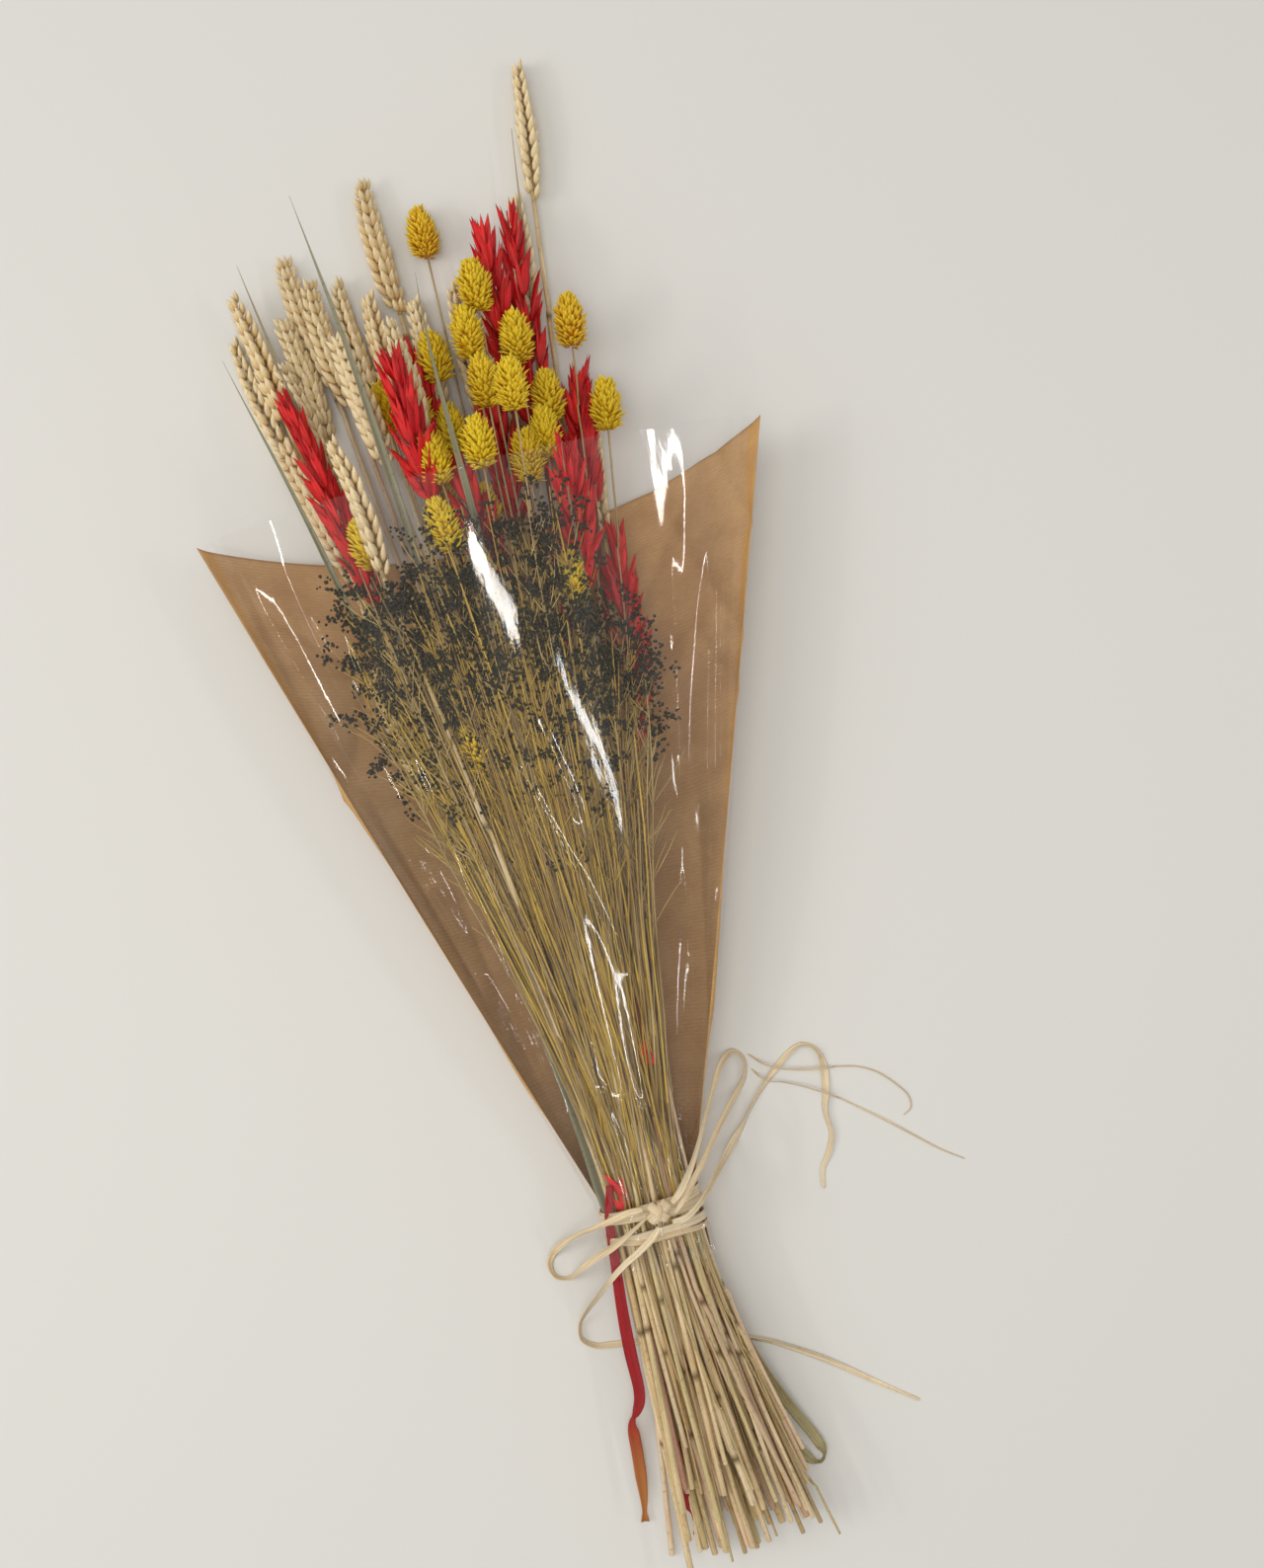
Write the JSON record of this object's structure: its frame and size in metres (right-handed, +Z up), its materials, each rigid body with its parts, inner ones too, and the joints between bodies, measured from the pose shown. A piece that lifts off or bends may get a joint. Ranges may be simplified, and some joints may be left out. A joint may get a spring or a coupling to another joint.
{
  "type": "bunch of dried flowers",
  "caption": "Long bunch of dried wheat, canary grass, red oats and dark broom, tied with raffia in a kraft-paper and clear-film sleeve, lying flat.",
  "frame": {"origin": "centre of the bottom of the bunch's box, on the surface it lies on", "axes": "+Y along the bunch towards the heads, +Z up from the surface, +X to the right seen from above with the heads away"},
  "size_m": [0.311, 0.7802, 0.092],
  "materials": {
    "wheat_straw": "matt dry straw",
    "canary_grass": "matt dyed yellow bracts on a thin tan stem",
    "red_oat": "papery dyed red husks with a slight sheen",
    "dark_broom": "matt olive twigs with blackish seed clusters",
    "dry_leaf": "papery dry grass leaf",
    "red_leaf": "dyed dry leaf, dark red going to rust",
    "kraft_paper": "matt ribbed kraft paper",
    "clear_film": "clear glossy film with wrinkles",
    "raffia": "pale split palm fibre, satin"
  },
  "bodies": {
    "root": {"wheat_01": "wheat_straw", "wheat_02": "wheat_straw", "wheat_03": "wheat_straw", "wheat_04": "wheat_straw", "wheat_05": "wheat_straw", "wheat_06": "wheat_straw", "wheat_07": "wheat_straw", "wheat_08": "wheat_straw", "wheat_09": "wheat_straw", "wheat_10": "wheat_straw", "wheat_11": "wheat_straw", "wheat_12": "wheat_straw", "wheat_13": "wheat_straw", "wheat_14": "wheat_straw", "wheat_15": "wheat_straw", "wheat_16": "wheat_straw", "canary_01": "canary_grass", "canary_02": "canary_grass", "canary_03": "canary_grass", "canary_04": "canary_grass", "canary_05": "canary_grass", "canary_06": "canary_grass", "canary_07": "canary_grass", "canary_08": "canary_grass", "canary_09": "canary_grass", "canary_10": "canary_grass", "canary_11": "canary_grass", "canary_12": "canary_grass", "canary_13": "canary_grass", "canary_14": "canary_grass", "canary_15": "canary_grass", "canary_16": "canary_grass", "canary_17": "canary_grass", "canary_18": "canary_grass", "oat_01": "red_oat", "oat_02": "red_oat", "oat_03": "red_oat", "oat_04": "red_oat", "oat_05": "red_oat", "oat_06": "red_oat", "broom_01": "dark_broom", "broom_02": "dark_broom", "broom_03": "dark_broom", "broom_04": "dark_broom", "leaf_grey": "dry_leaf", "leaf_bent": "dry_leaf", "leaf_wide": "dry_leaf", "leaf_red": "red_leaf", "leaf_folded": "dry_leaf", "kraft_back": "kraft_paper", "film_front": "clear_film", "raffia_turn_upper": "raffia", "raffia_turn_lower": "raffia", "raffia_knot": "raffia", "raffia_loop_left": "raffia", "raffia_loop_right": "raffia", "raffia_tail_upper": "raffia", "raffia_tail_lower": "raffia", "raffia_thread_long": "raffia", "raffia_thread_curled": "raffia"}
  },
  "joints": []
}
